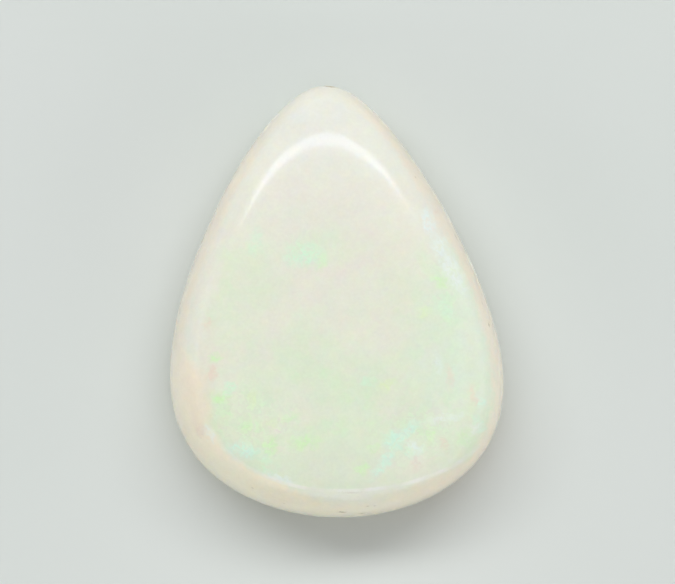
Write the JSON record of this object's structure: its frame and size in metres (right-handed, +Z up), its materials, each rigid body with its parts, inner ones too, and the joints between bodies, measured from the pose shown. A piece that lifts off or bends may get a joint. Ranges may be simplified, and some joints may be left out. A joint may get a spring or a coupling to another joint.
{
  "type": "loose opal",
  "caption": "Loose white opal with pastel green play of colour, cut as a low-domed pear-shaped cabochon with rounded shoulders and a flat back.",
  "frame": {"origin": "middle of the stone's box in plan, on the plane of its flat back", "axes": "+Z up out of the domed face, +Y towards the narrow end, +X to the right as the face is seen from above"},
  "size_m": [0.0108, 0.014, 0.0036],
  "materials": {
    "opal": "polished, milky and faintly translucent, with pastel green, aqua and pink flecks under the face and a peach-cream rim"
  },
  "bodies": {
    "root": {"opal": "opal"}
  },
  "joints": []
}
